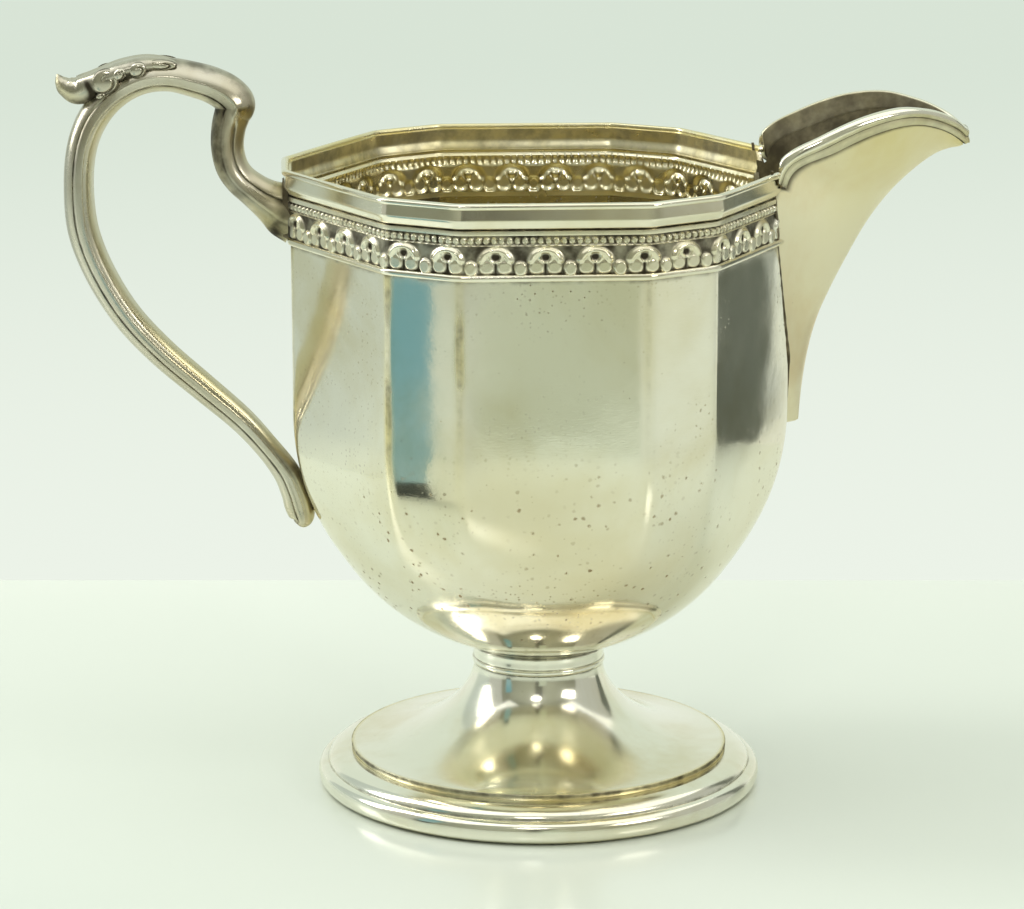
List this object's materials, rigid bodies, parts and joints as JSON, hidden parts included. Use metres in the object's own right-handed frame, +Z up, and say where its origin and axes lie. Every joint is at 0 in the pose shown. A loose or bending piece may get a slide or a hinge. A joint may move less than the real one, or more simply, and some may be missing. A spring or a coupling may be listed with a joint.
{
  "type": "cream jug",
  "caption": "Pedestal cream jug: panelled bowl with a die-rolled band, V beak spout, broken C-scroll handle and round trumpet foot.",
  "frame": {"origin": "centre of the foot, on the surface that the jug stands on", "axes": "+Z up, +X towards the spout, -X towards the handle"},
  "size_m": [0.1326, 0.0712, 0.1106],
  "materials": {
    "foot_plate": "bright silver plate, lightly scratched",
    "bowl_plate": "worn silver plate with warm tarnish and small pits",
    "band_plate": "die-rolled silver plate with dark tarnish in the hollows",
    "lip_plate": "polished silver plate",
    "spout_plate": "satin silver plate with a warm tarnish",
    "edging_plate": "polished silver plate, rubbed on its high edge",
    "handle_plate": "cast silver plate with dark tarnish in the grooves",
    "solder": "dull tarnished solder"
  },
  "bodies": {
    "root": {"foot": "foot_plate", "foot_wire": "foot_plate", "foot_solder_ring": "solder", "stem_collar": "foot_plate", "bowl": "bowl_plate", "lower_moulding": "band_plate", "border_band": "band_plate", "rim_collar": "lip_plate", "rim_wire": "lip_plate", "spout_shell": "spout_plate", "spout_edge_wire": "edging_plate", "spout_solder_seam": "solder", "handle": "handle_plate", "thumb_leaf": "handle_plate", "handle_upper_solder": "solder", "handle_lower_solder": "solder"}
  },
  "joints": []
}
